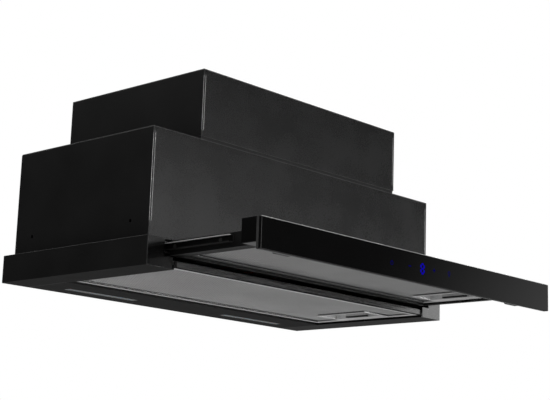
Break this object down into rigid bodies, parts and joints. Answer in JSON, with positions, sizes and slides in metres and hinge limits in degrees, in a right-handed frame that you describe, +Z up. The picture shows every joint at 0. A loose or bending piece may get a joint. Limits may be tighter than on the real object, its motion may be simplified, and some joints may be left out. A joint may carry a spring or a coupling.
{
  "type": "pull-out range hood",
  "caption": "Black pull-out range hood for a wall cabinet: stepped casing, shallow canopy, sliding filter tray with a glass front, fan and duct collar.",
  "frame": {"origin": "on the seating plane, the top of the ledge that meets the underside of the cabinet, on the centre line, in the middle of the ledge's front strip", "axes": "+Z up, +Y to the rear (the wall), +X to the right of someone facing the hood; the tray pulls out along -Y"},
  "size_m": [0.598, 0.4832, 0.3015],
  "materials": {
    "black_paint": "satin black powder coat on sheet steel",
    "dark_paint": "satin black powder coat on sheet steel",
    "black_plastic": "fine-grained black moulding",
    "glass_black": "gloss black glass, printed on its rear",
    "black_aluminium": "black anodised extrusion",
    "bright_aluminium": "bright rolled aluminium",
    "mesh_aluminium": "perforated and expanded aluminium layers",
    "zinc_steel": "bright zinc plating",
    "steel": "bare bright steel",
    "lens": "frosted diffuser",
    "board": "green circuit board with parts",
    "white_plastic": "white moulding",
    "rubber": "black rubber",
    "grey_plastic": "dark grey moulding"
  },
  "bodies": {
    "hood_body": {"side_channel_left": "black_paint", "side_channel_right": "black_paint", "front_crossbar": "black_paint", "front_ledge": "black_paint", "rear_skirt": "black_paint", "lamp_panel": "black_paint", "lamp_lenses": "lens", "lamp_boards": "board", "casing_side_left": "black_paint", "casing_side_right": "black_paint", "casing_front_panel": "dark_paint", "casing_top_panels": "black_paint", "rear_panel": "black_paint", "motor_box_side_left": "black_paint", "motor_box_side_right": "black_paint", "motor_box_front": "dark_paint", "motor_box_top": "black_paint", "outlet_collar": "black_plastic", "flap_pin": "steel", "scroll_wrapper": "zinc_steel", "scroll_side_left": "zinc_steel", "scroll_side_right": "zinc_steel", "fan_motor": "dark_paint", "motor_bracket": "zinc_steel", "motor_grommets": "rubber", "control_box": "black_plastic", "control_box_cover": "black_plastic", "power_board": "board", "run_capacitor": "white_plastic", "terminal_block": "white_plastic", "cable_gland": "black_plastic", "lamp_driver": "white_plastic", "reed_sensor": "black_plastic", "body_screws": "steel", "slide_outer_left": "zinc_steel", "slide_outer_right": "zinc_steel"},
    "tray": {"tray_frame": "black_paint", "tray_magnet": "steel", "slide_inner_left": "zinc_steel", "slide_inner_right": "zinc_steel", "panel_housing": "black_aluminium", "end_cap_left": "black_plastic", "end_cap_right": "black_plastic", "glass_panel": "glass_black", "touch_board": "board", "panel_bumpers": "rubber"},
    "cage_left": {"slide_cage_left": "steel"},
    "cage_right": {"slide_cage_right": "steel"},
    "front_filter": {"front_filter_frame": "bright_aluminium", "front_filter_mesh": "mesh_aluminium", "front_latch_spring": "steel"},
    "front_latch": {"front_filter_latch": "black_plastic"},
    "rear_filter": {"rear_filter_frame": "bright_aluminium", "rear_filter_mesh": "mesh_aluminium", "rear_latch_spring": "steel"},
    "rear_latch": {"rear_filter_latch": "black_plastic"},
    "fan_wheel": {"impeller": "grey_plastic", "motor_shaft": "steel"},
    "outlet_flap_front": {"flap_front": "black_plastic"},
    "outlet_flap_rear": {"flap_rear": "black_plastic"}
  },
  "joints": [
    {"name": "tray_slide", "type": "slide", "parent": "hood_body", "child": "tray", "axis": [0, -1, 0], "range_m": [-0.158, 0]},
    {"name": "cage_left_slide", "type": "slide", "parent": "hood_body", "child": "cage_left", "axis": [0, -1, 0], "range_m": [-0.079, 0]},
    {"name": "cage_right_slide", "type": "slide", "parent": "hood_body", "child": "cage_right", "axis": [0, -1, 0], "range_m": [-0.079, 0]},
    {"name": "front_filter_swing", "type": "hinge", "parent": "tray", "child": "front_filter", "pos_m": [-0.242, -0.08775, -0.0145], "axis": [0, 1, 0], "range_deg": [0, 25]},
    {"name": "front_latch_slide", "type": "slide", "parent": "front_filter", "child": "front_latch", "axis": [-1, 0, 0], "range_m": [0, 0.005], "stiffness_N_per_m": 300, "springref_m": -0.004, "deforming": ["front_latch_spring"]},
    {"name": "rear_filter_swing", "type": "hinge", "parent": "hood_body", "child": "rear_filter", "pos_m": [-0.253, 0.096, -0.0315], "axis": [0, 1, 0], "range_deg": [0, 25]},
    {"name": "rear_latch_slide", "type": "slide", "parent": "rear_filter", "child": "rear_latch", "axis": [-1, 0, 0], "range_m": [0, 0.005], "stiffness_N_per_m": 300, "springref_m": -0.004, "deforming": ["rear_latch_spring"]},
    {"name": "fan_spin", "type": "hinge", "parent": "hood_body", "child": "fan_wheel", "pos_m": [0, 0.10967, 0.11121], "axis": [1, 0, 0], "continuous": true},
    {"name": "flap_front_swing", "type": "hinge", "parent": "hood_body", "child": "outlet_flap_front", "pos_m": [0, 0.14767, 0.2428], "axis": [-1, 0, 0], "range_deg": [0, 80]},
    {"name": "flap_rear_swing", "type": "hinge", "parent": "hood_body", "child": "outlet_flap_rear", "pos_m": [0, 0.14767, 0.2428], "axis": [1, 0, 0], "range_deg": [0, 80]}
  ],
  "couplings": [
    {"joint": "cage_left_slide", "follows": "tray_slide", "ratio": 0.5},
    {"joint": "cage_right_slide", "follows": "tray_slide", "ratio": 0.5}
  ]
}
